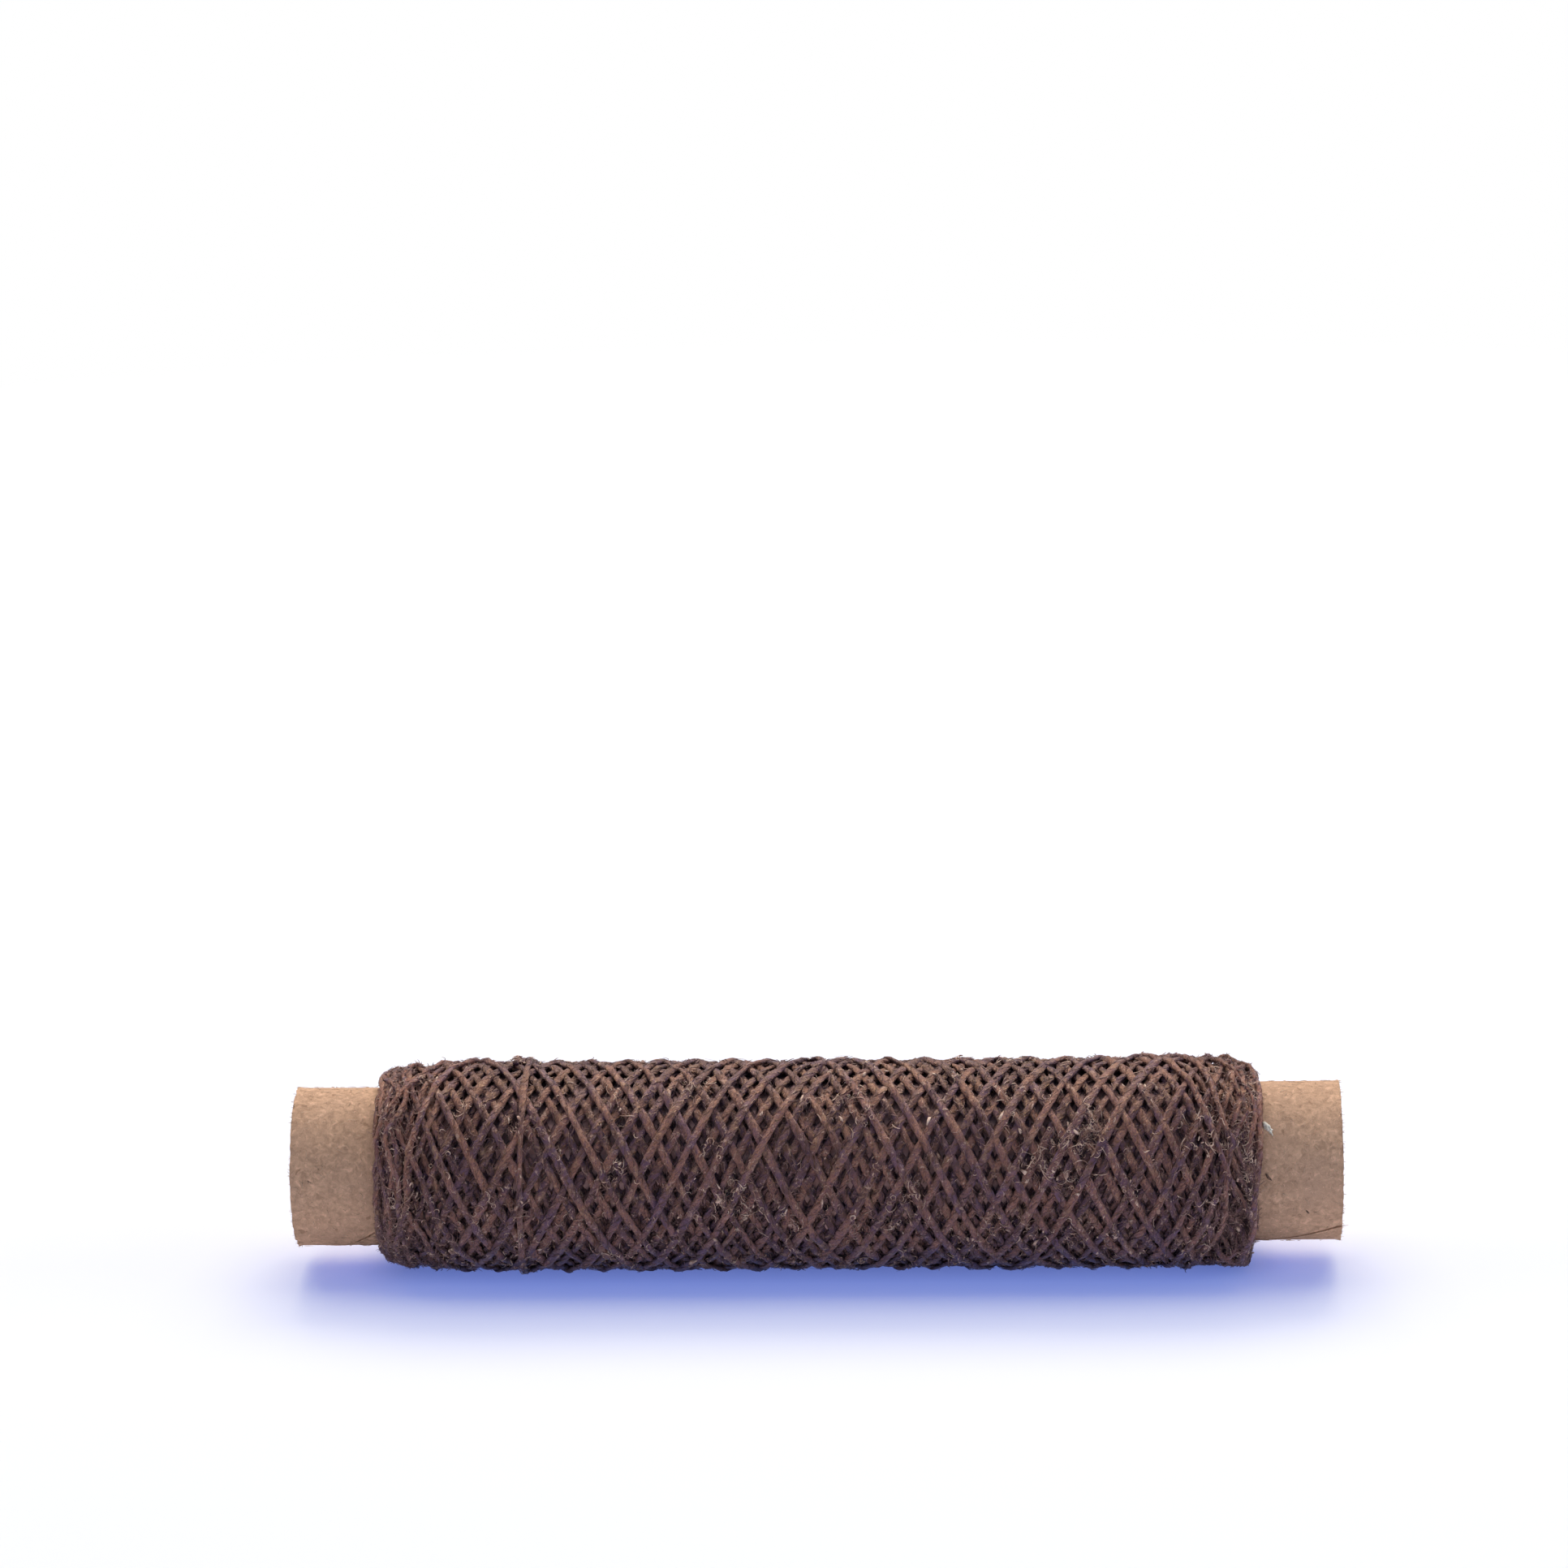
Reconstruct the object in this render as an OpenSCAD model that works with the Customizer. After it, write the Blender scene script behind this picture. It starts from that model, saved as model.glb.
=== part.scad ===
// Waxed thread spool: one length of waxed thread, cross-wound on a kraft paper tube.
// The tube's axis is X and +Z is up. The origin is on the axis, at mid-length.
// Each of the tube's three paper plies is one strip wound in a spiral, with an open seam
// between the edges of its turns. The thread's deep layers are one plain sleeve, and its
// outer layer is a single unbroken cord that travels to and fro over them, with every
// pass to the left crossing over every pass to the right.

/* [Paper tube] */
// Length of the tube
tube_len = 89; // [80:0.5:130]
// Diameter of the open bore
bore_d = 10.4; // [6:0.1:20]
// Thickness of each paper ply
ply_t = 0.5; // [0.3:0.05:1]
// Thickness of the glue film between two plies
glue_t = 0.02; // [0.01:0.01:0.1]
// Distance along the tube in which a strip of paper makes one turn
seam_lead = 41; // [30:0.5:60]
// Open width between the two edges of a strip that meet at its seam
seam_gap = 0.2; // [0.1:0.05:0.6]
// Angle between the seams of one ply and the next
seam_stagger = 120; // [60:5:180]

/* [Wound package] */
// Length of the package along the tube
package_len = 75.5; // [50:0.5:79]
// Depth of the buried windings on the tube
buried_t = 0.85; // [0.5:0.05:6]
// Length of the round shoulder at each end of the buried windings
shoulder_len = 5; // [2:0.5:10]
// Clearance of each layer from the surface that it is wound on
lay_gap = 0.03; // [0.02:0.01:0.1]

/* [Thread] */
// Width of the waxed thread
thread_w = 0.8; // [0.6:0.05:0.9]
// Thickness of the waxed thread, which the winding presses flat
thread_t = 0.5; // [0.4:0.01:0.6]
// Clear height between a pass and the pass that it crosses over
pass_gap = 0.45; // [0.44:0.01:0.7]
// Turns round the tube in one traverse of the package
traverse_turns = 2.4; // [1.6:0.1:2.4]
// Length of thread that stands straight on the buried windings at each end
end_run = 0.8; // [0.6:0.05:0.9]
// Depth of the flat on the underside, where the package rests
rest_flat = 0.08; // [0.02:0.01:0.12]

/* [Hidden] */

KRAFT = [0.72, 0.57, 0.43];
KRAFT_INSIDE = [0.66, 0.52, 0.39];
THREAD_BURIED = [0.22, 0.15, 0.14];
THREAD = [0.44, 0.32, 0.26];

// Paper tube, from the bore outwards
inner_r = bore_d / 2;
middle_r = inner_r + ply_t + glue_t;
outer_r = middle_r + ply_t + glue_t;
tube_r = outer_r + ply_t;
// Angle of the outer seam at mid-length, measured from +Y towards +Z
seam_angle = 247;
seam_step = 15;
past_end = 1;

// Buried windings
package_half = package_len / 2;
buried_bore_r = tube_r + lay_gap;
shoulder_steps = 10;

// Outer winding: its to-and-fro trips, and its turns in all, which share no factor
trips = 5;
turns_wanted = round(2 * trips * traverse_turns);
turns = turns_wanted % trips == 0 ? turns_wanted - 1 : turns_wanted;
traverse_deg = 360 * turns / (2 * trips);
trip_deg = 2 * traverse_deg;
rings_per_turn = 24;
ring_step = 360 / rings_per_turn;
section_sides = 6;
section_step = 360 / section_sides;
// Passes cross this far from each reversal, and then again at twice this, and so on
crossing_deg = 180 / trips;
// Each side of a reversal, the thread turns back in turn_deg, and climbs or dives in climb_deg
turn_deg = crossing_deg - 6;
climb_deg = crossing_deg - 8;
// A chord between two rings lies nearer to the axis than the rings, by this factor
chord = cos(ring_step / 2);
reach = package_half - thread_w / 2;
advance = 2 * reach / (traverse_deg - turn_deg);
// The two ends stand on a pass to the left, half-way between crossings, with one crossing between
// them, and this many crossings lie between the start and the first reversal
crossings_before = 3;
start_deg = -(crossings_before + 0.5) * crossing_deg;
end_deg = trips * trip_deg - (crossings_before + 1.5) * crossing_deg;
// Angle of the first reversal, with both ends low at the back and a chord at the very bottom
bottom = 270;
first_angle = bottom + 12.5 * ring_step;
bend_steps = 4;
// Angle kept free of rings beside each end, for its bend
bend_clear_deg = 6;
// Half the stretch over which the thread's direction is measured
aim_deg = 1;

TAU = 2 * PI;

function unit(v) = v / norm(v);
function along_axis(x, r, a) = [x, r * cos(a), r * sin(a)];

// Radius of the buried windings at a distance x from mid-length
function shoulder_rise(u) = u >= 1 ? 1 : (u <= 0 ? 0 : sqrt(1 - (1 - u) ^ 2));
function buried_r(x) =
    buried_bore_r + buried_t * shoulder_rise((package_half - abs(x)) / shoulder_len);

// A thread that lies at x clears the buried windings under its whole width,
// and a pass above clears the passes that it crosses in the same way
function seat_r(x) = buried_r(max(abs(x) - thread_w / 2, 0)) + lay_gap;
function low_r(x) = (seat_r(x) + thread_t / 2) / chord;
helix_angle = atan(advance * 360 / (TAU * low_r(0)));
slant_w = thread_w / cos(helix_angle);
function high_r(x) = low_r(max(abs(x) - slant_w, 0)) + (thread_t + pass_gap) / chord;

// Place of the thread after it has turned through phi degrees from the left reversal
function in_trip(phi) = phi - trip_deg * floor(phi / trip_deg);
function from_left(phi) = min(in_trip(phi), trip_deg - in_trip(phi));
function from_turn(phi) = min(from_left(phi), traverse_deg - from_left(phi));
function turn_depth(d) =
    d < turn_deg ? advance * d ^ 2 / (2 * turn_deg) : advance * (d - turn_deg / 2);
function wind_x(phi) =
    from_left(phi) < traverse_deg / 2
        ? turn_depth(from_turn(phi)) - reach
        : reach - turn_depth(from_turn(phi));
function smooth(u) = let (v = min(max(u, 0), 1)) v * v * (3 - 2 * v);
function lift(phi) =
    smooth(min(in_trip(phi) - traverse_deg, trip_deg - in_trip(phi)) / climb_deg);
function wind_r(phi) =
    let (x = wind_x(phi))
    low_r(x) + lift(phi) * (high_r(x) - low_r(x));
function wind_point(phi) = along_axis(wind_x(phi), wind_r(phi), first_angle + phi);
function wind_ahead(phi) = unit(wind_point(phi + aim_deg) - wind_point(phi - aim_deg));
function wind_out(phi) = along_axis(0, 1, first_angle + phi);

// A frame is a centre, the direction of the thread there, and the direction of its outer face
function wind_frame(phi) = [wind_point(phi), wind_ahead(phi), wind_out(phi)];

// The thread bends down to the buried windings at phi and ends square to them.
// side is 1 where it ends and -1 where it starts.
function landing_frames(phi, side) =
    let (
        here = wind_point(phi),
        on = side * wind_ahead(phi),
        out = wind_out(phi),
        bend_r = norm([here.y, here.z]) - seat_r(here.x) - end_run,
        bend = [
            for (i = [0 : bend_steps])
                let (
                    b = 90 * i / bend_steps,
                    centre = here - bend_r * (1 - sin(b)) * on - bend_r * (1 - cos(b)) * out
                )
                [centre, side * (cos(b) * on - sin(b) * out), cos(b) * out + sin(b) * on]
        ],
        foot = bend[bend_steps] + [-end_run * out, [0, 0, 0], [0, 0, 0]]
    )
    concat(bend, [foot]);

function reversed(list) = [for (i = [len(list) - 1 : -1 : 0]) list[i]];

first_ring = ceil((start_deg + bend_clear_deg) / ring_step);
last_ring = floor((end_deg - bend_clear_deg) / ring_step);
frames = concat(
    reversed(landing_frames(start_deg, -1)),
    [for (k = [first_ring : last_ring]) wind_frame(k * ring_step)],
    landing_frames(end_deg, 1)
);

// Lowest reach of the thread, which the flat takes rest_flat off
rest_z = (high_r(0) + thread_t / 2) * chord - rest_flat;

// Six points round the thread: two edges, and a flat face above and below
function section(frame) =
    let (
        across = unit(cross(frame[1], frame[2])),
        up = cross(across, frame[1])
    )
    [
        for (i = [0 : section_sides - 1])
            let (
                a = i * section_step,
                p = frame[0]
                    + thread_w / 2 * cos(a) * across
                    + thread_t / 2 * sin(a) / sin(section_step) * up
            )
            [p.x, p.y, max(p.z, -rest_z)]
    ];

// Triangles of a tube whose rings have n points each, closed at both ends
function tube_faces(rings, n) =
    concat(
        [
            for (i = [0 : rings - 2], j = [0 : n - 1])
                let (a = i * n + j, b = i * n + (j + 1) % n)
                each [[a, b, b + n], [a, b + n, a + n]]
        ],
        [for (j = [1 : n - 2]) [0, j + 1, j]],
        [for (j = [1 : n - 2]) let (last = (rings - 1) * n) [last, last + j, last + j + 1]]
    );

// Least gap of the outer winding to itself. Passes are compared at every ring and chord middle
// that lie at the same angle round the tube, as boxes as wide and as thick as the thread.
half_steps = 2 * rings_per_turn;
function gauge(h) =
    let (
        before = floor(h / 2) * ring_step,
        after = ceil(h / 2) * ring_step,
        dip = before == after ? 1 : chord
    )
    [(wind_x(before) + wind_x(after)) / 2, dip * (wind_r(before) + wind_r(after)) / 2];
function box_gap(a, b) =
    norm([max(abs(a[0] - b[0]) - slant_w, 0), max(abs(a[1] - b[1]) - thread_t, 0)]);
pass_gaps = [
    for (s = [0 : half_steps - 1])
        let (beads = [for (h = [2 * first_ring + s : half_steps : 2 * last_ring]) gauge(h)])
        for (i = [0 : len(beads) - 2], j = [i + 1 : len(beads) - 1])
            box_gap(beads[i], beads[j])
];
// Both standing ends against every ring more than a quarter turn away along the thread
function end_gaps(phi, side) = [
    for (f = landing_frames(phi, side), k = [first_ring : last_ring])
        if (abs(k * ring_step - phi) > 90)
            norm(f[0] - wind_point(k * ring_step)) - thread_w
];
least_gap = min(concat(pass_gaps, end_gaps(start_deg, -1), end_gaps(end_deg, 1)));
cord_len = [
    for (i = [0 : len(frames) - 2]) norm(frames[i + 1][0] - frames[i][0])
] * [for (i = [0 : len(frames) - 2]) 1];
echo(str("outer_winding: ", turns, " turns in ", 2 * trips, " passes, ",
    round(cord_len), " mm of thread, least gap to itself ", least_gap, " mm"));

module along_x() {
    rotate([0, 90, 0])
        children();
}

// The open seam between the edges of a strip, through a ply that starts at radius r
module seam(r, angle) {
    half_w = seam_gap / cos(atan(seam_lead / (TAU * (r + ply_t)))) / 2;
    low = r - ply_t / 2;
    high = (r + ply_t * 1.5) / cos(seam_step / 2);
    half_turn = 360 * (tube_len / 2 + past_end) / seam_lead;
    steps = ceil(2 * half_turn / seam_step);
    points = [
        for (i = [0 : steps])
            let (
                a = half_turn * (2 * i / steps - 1),
                x = seam_lead * a / 360
            )
            each [
                along_axis(x - half_w, low, angle - a),
                along_axis(x + half_w, low, angle - a),
                along_axis(x + half_w, high, angle - a),
                along_axis(x - half_w, high, angle - a)
            ]
    ];
    polyhedron(points, tube_faces(steps + 1, 4));
}

// One ply of the tube, a strip of paper wound in a spiral at radius r
module ply(r, angle) {
    difference() {
        along_x()
            difference() {
                cylinder(r = r + ply_t, h = tube_len, center = true, $fn = 120);
                cylinder(r = r, h = tube_len + 2 * past_end, center = true, $fn = 120);
            }
        seam(r, angle);
    }
}

module inner_ply() {
    color(KRAFT_INSIDE)
        ply(inner_r, seam_angle + 2 * seam_stagger);
}

module middle_ply() {
    color(KRAFT_INSIDE)
        ply(middle_r, seam_angle + seam_stagger);
}

module outer_ply() {
    color(KRAFT)
        ply(outer_r, seam_angle);
}

// The deep layers, as one sleeve with round shoulders
module buried_windings() {
    shoulder = [
        for (i = [0 : shoulder_steps])
            let (x = package_half - shoulder_len * (1 - cos(90 * i / shoulder_steps)))
            [buried_r(x), x]
    ];
    other_shoulder = [for (p = reversed(shoulder)) [p.x, -p.y]];
    color(THREAD_BURIED)
        along_x()
            rotate_extrude($fn = 120)
                polygon(concat(shoulder, other_shoulder));
}

// The outer layer, one cord with a flat on its underside
module outer_winding() {
    points = [for (f = frames) each section(f)];
    color(THREAD)
        polyhedron(points, tube_faces(len(frames), section_sides));
}

inner_ply();
middle_ply();
outer_ply();
buried_windings();
outer_winding();
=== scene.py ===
import math

import bmesh
import bpy
import numpy as np
from mathutils import Matrix, Vector

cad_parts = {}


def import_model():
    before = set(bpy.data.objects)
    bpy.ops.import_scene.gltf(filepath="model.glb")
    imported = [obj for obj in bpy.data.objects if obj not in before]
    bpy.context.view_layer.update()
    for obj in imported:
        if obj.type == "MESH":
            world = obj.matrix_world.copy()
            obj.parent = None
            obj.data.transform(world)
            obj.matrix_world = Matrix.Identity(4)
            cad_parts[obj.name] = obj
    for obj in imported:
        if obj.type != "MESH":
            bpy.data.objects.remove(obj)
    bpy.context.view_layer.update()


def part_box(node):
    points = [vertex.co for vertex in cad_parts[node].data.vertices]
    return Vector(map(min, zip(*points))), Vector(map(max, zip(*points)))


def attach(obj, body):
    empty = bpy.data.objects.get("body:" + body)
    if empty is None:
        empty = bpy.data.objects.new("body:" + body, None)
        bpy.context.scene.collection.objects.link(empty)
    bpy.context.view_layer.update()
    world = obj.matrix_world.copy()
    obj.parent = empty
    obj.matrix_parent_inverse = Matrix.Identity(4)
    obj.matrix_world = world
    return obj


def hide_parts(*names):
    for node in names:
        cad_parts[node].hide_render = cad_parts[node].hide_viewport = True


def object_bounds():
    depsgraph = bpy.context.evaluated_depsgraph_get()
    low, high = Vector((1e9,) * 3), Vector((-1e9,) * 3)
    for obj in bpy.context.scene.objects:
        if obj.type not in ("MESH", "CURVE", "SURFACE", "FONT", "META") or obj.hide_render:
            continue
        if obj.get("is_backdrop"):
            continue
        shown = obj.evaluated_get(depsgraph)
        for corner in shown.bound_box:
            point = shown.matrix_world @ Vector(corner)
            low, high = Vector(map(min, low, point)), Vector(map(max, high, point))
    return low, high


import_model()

# Lengths are in millimetres up to the meshes, which are in metres. Angles are in degrees in the
# values and tables, and in radians in the functions. Round the tube they run from +Y towards +Z,
# so they grow downwards on the side that faces the camera.
MM = 0.001
TAU = 2 * math.pi
SEED = 41

# Tube
TUBE_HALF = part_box("outer_ply")[1].x / MM
TUBE_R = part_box("outer_ply")[1].z / MM
PLY_T = 0.5
GLUE_T = 0.02
SEAM_LEAD = 40.22
SEAM_GAP = 0.2
SEAM_ANGLE = 240.4
SEAM_STAGGER = 120
# Where the seams bend off their spiral, and by what angle
SEAM_BEND_X = [30, 38, 44.5]
SEAM_BEND = [0, -18, 11.6]
# Nicks in the ends of the outer ply: end, angle, width and depth
RIM_NICKS = [(1, 124, 0.28, 0.22), (1, 141, 0.5, 0.08), (1, 206, 0.35, 0.1), (1, 229, 0.3, 0.2),
             (-1, 96, 0.4, 0.1), (-1, 152, 0.5, 0.06), (-1, 231, 0.35, 0.15)]

# Package: its radius from its ends inwards, and the share of its depth under the modelled thread
PACKAGE_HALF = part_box("buried_windings")[1].x / MM
SHOULDER_DEPTHS = [0, 0.3, 0.9, 1.5, 3, 6, 10]
SHOULDER_RADII = [6.8, 7.25, 8.0, 8.35, 8.68, 8.98, 9.06]
BASE_SHARE = 0.52
PACKAGE_SHIFT = 0.2
REST_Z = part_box("outer_winding")[0].z / MM
# How far the upper side is puffed up, by place along the tube
PUFF_PLACES = [-37.7, -36, -25, -24.3, 20, 27, 31, 35, 37, 37.7]
PUFF = [0, 0.1, 0.1, -0.1, -0.08, 0.06, 0.24, 0.32, 0.15, 0]
# How far thread may pile up, and the share of what is higher that is pressed away
PILE_LIMIT = 0.22
PILE_EASE = 0.7
# How far the right end of the winding stands back, by angle
EDGE_ANGLES = [0, 60, 150, 176, 188, 204, 218, 234, 255, 300, 360]
EDGE_BACK = [0.2, 0, 0, 0.5, 0.75, 0.6, 1.3, 1.5, 0.9, 0.6, 0.2]

# Thread
THREAD_W = 0.71
THREAD_T = 0.46
THREAD_LUMPS = 0.06
PLIES = 3
PLY_DEPTH = 0.07
TWIST_PITCH = 4.4
# Width, thickness and lumps near the package's ends, as a share of what they are elsewhere
END_WIDE = 0.72
END_THICK = 1.2
END_LUMPS = 2.2
# How far the thread rolls from side to side, and how much further near the ends
THREAD_ROLL = 15
END_ROLL = 16
# Zones near the ends: where they start, and the length over which their effect grows
SHAPE_ZONE = (29, 5)
BACK_ZONE = (31, 5)
SLIP_ZONE = (26, 7)
SLACK_ZONE = (28, 4)
EDGE_ZONE = (29, 8)

# Winding pattern
STRANDS = 19
TRIP_TURNS = 6 + 2 / STRANDS + 0.0004
TRIPS = 57
LEAD = 28.4
REACH = PACKAGE_HALF - 0.4
TURN_DEPTH = 1.4
# How far passes stray: back from the ends, and to both sides, each with its spread in mm
STRAY_BACK = (0.35, 3.2)
STRAY_SHORT = (0.06, 3.5)
STRAY_LONG = (0.13, 40)
# Where the newest pass crosses the front
NEWEST_X = 0.75
NEWEST_ANGLE = 82
# The single hoop that the thread ends with
HOOP_X = -24.6
HOOP_DRIFT = 1.1
HOOP_TURNS = 1.12
HOOP_SINK = 0.06
HOOP_WIDE = 0.72

# Clusters of wax crumbs and fibres, and spots where some gather: place, angle and spread
CLUSTERS = 260
CLUSTER_SPREAD = 0.55
# Angles on the lower front where a quarter of the clusters, and a share of the fuzz, lie
LOW_CLUSTERS = (175, 240)
LOW_FUZZ = (192, 238)
LOW_FUZZ_SHARE = 0.28
SPOTS = [(20.6, 148, 0.6), (23.0, 147, 0.6), (23.8, 141, 0.4), (19.0, 159, 0.6), (21.3, 168, 0.6),
         (22.0, 149, 1.4), (23.2, 145, 0.5), (2.7, 120, 1.5),
         (-8.5, 189, 2.0), (-34.7, 151, 2.0), (16.0, 209, 3.0), (32.7, 142, 1.0),
         (-25.2, 228, 1.2), (-24.9, 205, 0.8), (36.9, 176, 0.8), (37.1, 160, 0.5),
         (35.4, 147, 0.7), (35.8, 194, 1.2), (36.0, 118, 1.6), (36.4, 214, 1.2)]

STREWN_MARGIN = 0.7
STRAND_WAY = math.radians(63)
FIBRE_RINGS = 6
FIBRE_SIDES = 3

# Places along the tube and angles of a blob of wax and of dark chips on the bare paper
TUBE_WAX = [(37.95, 133), (38.1, 134.5), (38.3, 135.5), (38.15, 137), (37.95, 136), (38.45, 137.5),
            (38.4, 139.5), (38.5, 141)]
TUBE_CHIPS = [(38.15, 172), (38.3, 173), (-42.9, 171), (-42.7, 172), (41.5, 200)]
# Single fibres on the bare paper and on its ends: place, angle, way, length and lift
STRAYS = [(40.6, 161, 124, 1.0, 0.03), (44.25, 214, 10, 0.75, 0.12), (44.3, 212, 60, 0.5, 0.10),
          (44.1, 231, 70, 0.45, 0.25), (44.2, 229, 40, 0.35, 0.25), (-44.2, 246, 100, 0.4, 0.25),
          (-44.3, 243, 130, 0.35, 0.2), (44.3, 136, -20, 0.3, 0.1), (-40.4, 148, 20, 0.5, 0.03),
          (-41.4, 193, 80, 0.4, 0.03), (-43.4, 172, 95, 0.45, 0.03), (39.3, 184, 20, 0.8, 0.03),
          (42.1, 149, 60, 0.7, 0.03), (-39.4, 231, 15, 0.9, 0.04), (-38.6, 226, 20, 0.8, 0.04)]

# Winding model: the step along the thread, and the cells of the height map under it
STEP = 0.075
CELL = 0.1
AROUND = 720
COLUMNS = np.linspace(-PACKAGE_HALF, PACKAGE_HALF, int(2 * PACKAGE_HALF / CELL) + 1)
# How deep a pass sinks into what it crosses, by the share of the thread that is wound
SINKS = [0.21, 0.2, 0.12, 0.08]
SINK_TIMES = [0, 0.62, 0.85, 1]
# Mean radius at which the modelled thread starts. It grows by 1 mm.
MODELLED_R = 8.1
# Share of a pass's height that follows a taut thread, and how much of it the ends lose
TAUT_SHARE = 0.35
TAUT_LOSS = 0.75
# Slips along the tube that a pass may take to a lower place near the ends
SLIPS = np.linspace(-1.5, 1.5, 13)


def smooth(values, spread):
    """Gaussian average along an array, with a spread in steps."""
    n = int(3 * spread) + 1
    kernel = np.exp(-0.5 * (np.arange(-n, n + 1) / spread) ** 2)
    return np.convolve(np.pad(values, n, mode="edge"), kernel / kernel.sum(), mode="valid")


def drift(rng, count, spread):
    """Smooth random curve that varies by about 1."""
    return smooth(rng.normal(size=count), spread) * math.sqrt(2 * spread * math.sqrt(math.pi))


def package_radius(x):
    """Radius that the finished package has at x."""
    return np.interp(PACKAGE_HALF - np.abs(x), SHOULDER_DEPTHS, SHOULDER_RADII)


def base_radius(x):
    """Radius of the deep layers that the modelled thread is wound on."""
    return TUBE_R + BASE_SHARE * (package_radius(x) - TUBE_R)


def near_ends(x, start, length):
    """Grows from 0 to 1 along the tube towards both ends, over a length from a start."""
    return np.clip((np.abs(x) - start) / length, 0, 1)


def upward(angle):
    """Grows from 0 at the bottom to 1 at the top."""
    return 0.5 + 0.5 * np.sin(angle)


def round_tube(x, radius, angle):
    """Points in space from places along the tube, radii and angles."""
    return np.stack([x, radius * np.cos(angle), radius * np.sin(angle)], -1)


# ---- winding

def turning_points(rng):
    """How far short of the full reach each trip of the thread turns back, and how gently."""
    n = 2 * TRIPS + 2
    shy = np.interp(np.linspace(0, 1, n), [0, 0.5, 1], [0.05, 0.25, 0.55]) * rng.uniform(0.1, 1.9, n)
    return shy, TURN_DEPTH * rng.uniform(0.6, 1.7, n)


def thread_x(turns, shy, depths):
    """Place of the thread along the tube after it has turned so often."""
    half = TRIP_TURNS / 2
    tip = np.rint(turns / half).astype(int)
    away = np.abs(turns - tip * half) * LEAD
    spare = LEAD * half / 2 - REACH
    late = np.maximum(away - (spare + shy[tip] - depths[tip]), 0)
    curved = shy[tip] + late ** 2 / (4 * depths[tip])
    depth = np.where(late < 2 * depths[tip], curved, away - spare)
    return np.where(tip % 2 == 0, -1.0, 1.0) * (REACH - depth)


def whole_path(rng):
    """Turns and place along the tube of the whole thread, and where its last hoop starts."""
    shy, depths = turning_points(rng)
    last_middle = (TRIPS - 0.25) * TRIP_TURNS
    hoop_at = last_middle - HOOP_X / LEAD
    mean_r = TUBE_R + 1.3
    per_step = STEP / math.hypot(TAU * mean_r, LEAD)
    turns = np.arange(0, hoop_at + HOOP_TURNS, per_step)
    x = thread_x(turns, shy, depths)
    back, short, long = [size * drift(rng, len(turns), spread / STEP)
                         for size, spread in (STRAY_BACK, STRAY_SHORT, STRAY_LONG)]
    x -= np.sign(x) * near_ends(x, *BACK_ZONE) * np.abs(back)
    x += short + long
    line = HOOP_X - HOOP_DRIFT * (turns - hoop_at)
    late = turns > hoop_at - 1
    gap = x - line
    x = np.where(late, line + 0.5 * (gap + np.sqrt(gap ** 2 + 0.8)), x)
    x = np.where(turns > hoop_at + 0.4, line, x)
    return turns, x, hoop_at


def stretches(turns):
    """First and last step of the stretches between crossings of the package's middle."""
    middles = (np.arange(2 * TRIPS) + 0.5) * (TRIP_TURNS / 2)
    cuts = sorted({0, *np.searchsorted(turns, middles).tolist(), len(turns)})
    return zip(cuts[:-1], cuts[1:])


def cells(x, angle, sideways, along, across, radius):
    """Cells of the surface that lie under the thread's width."""
    column = (x[:, None] + sideways * across[:, None] + PACKAGE_HALF) / CELL
    row = (angle[:, None] - sideways * along[:, None] / radius) / TAU * AROUND
    return (np.rint(column).astype(int).clip(0, len(COLUMNS) - 1),
            np.rint(row).astype(int) % AROUND)


def taut(s, need, bend):
    """Lowest curve over need that a taut thread takes round a drum."""
    v = need - bend * s * s / 2
    keep = []
    for i in range(len(s)):
        while len(keep) > 1:
            a, b = keep[-2], keep[-1]
            if (v[b] - v[a]) * (s[i] - s[a]) > (v[i] - v[a]) * (s[b] - s[a]):
                break
            keep.pop()
        keep.append(i)
    return np.interp(s, s[keep], v[keep]) + bend * s * s / 2


def best_slip(x, height_under, share):
    """How far a stretch slips along the tube to where least thread has piled up."""
    costs = []
    for slip in SLIPS:
        place = x + slip
        wanted = TUBE_R + (package_radius(place) - TUBE_R) * share
        over = np.maximum(np.abs(place) - REACH, 0)
        costs.append(smooth(height_under(place) - wanted + 2 * over, 12) + 0.3 * slip ** 2)
    return smooth(SLIPS[np.argmin(costs, axis=0)], 20)


def laid(s, x, lowest, bend):
    """Radius of a stretch that bridges what lies under it, and does so less near the ends."""
    tight = TAUT_SHARE * (1 - TAUT_LOSS * near_ends(x, *SLACK_ZONE))
    radius = tight * taut(s, lowest, bend) + (1 - tight) * smooth(lowest, 5)
    radius[3:] = smooth(radius, 3)[3:]
    return radius


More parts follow.
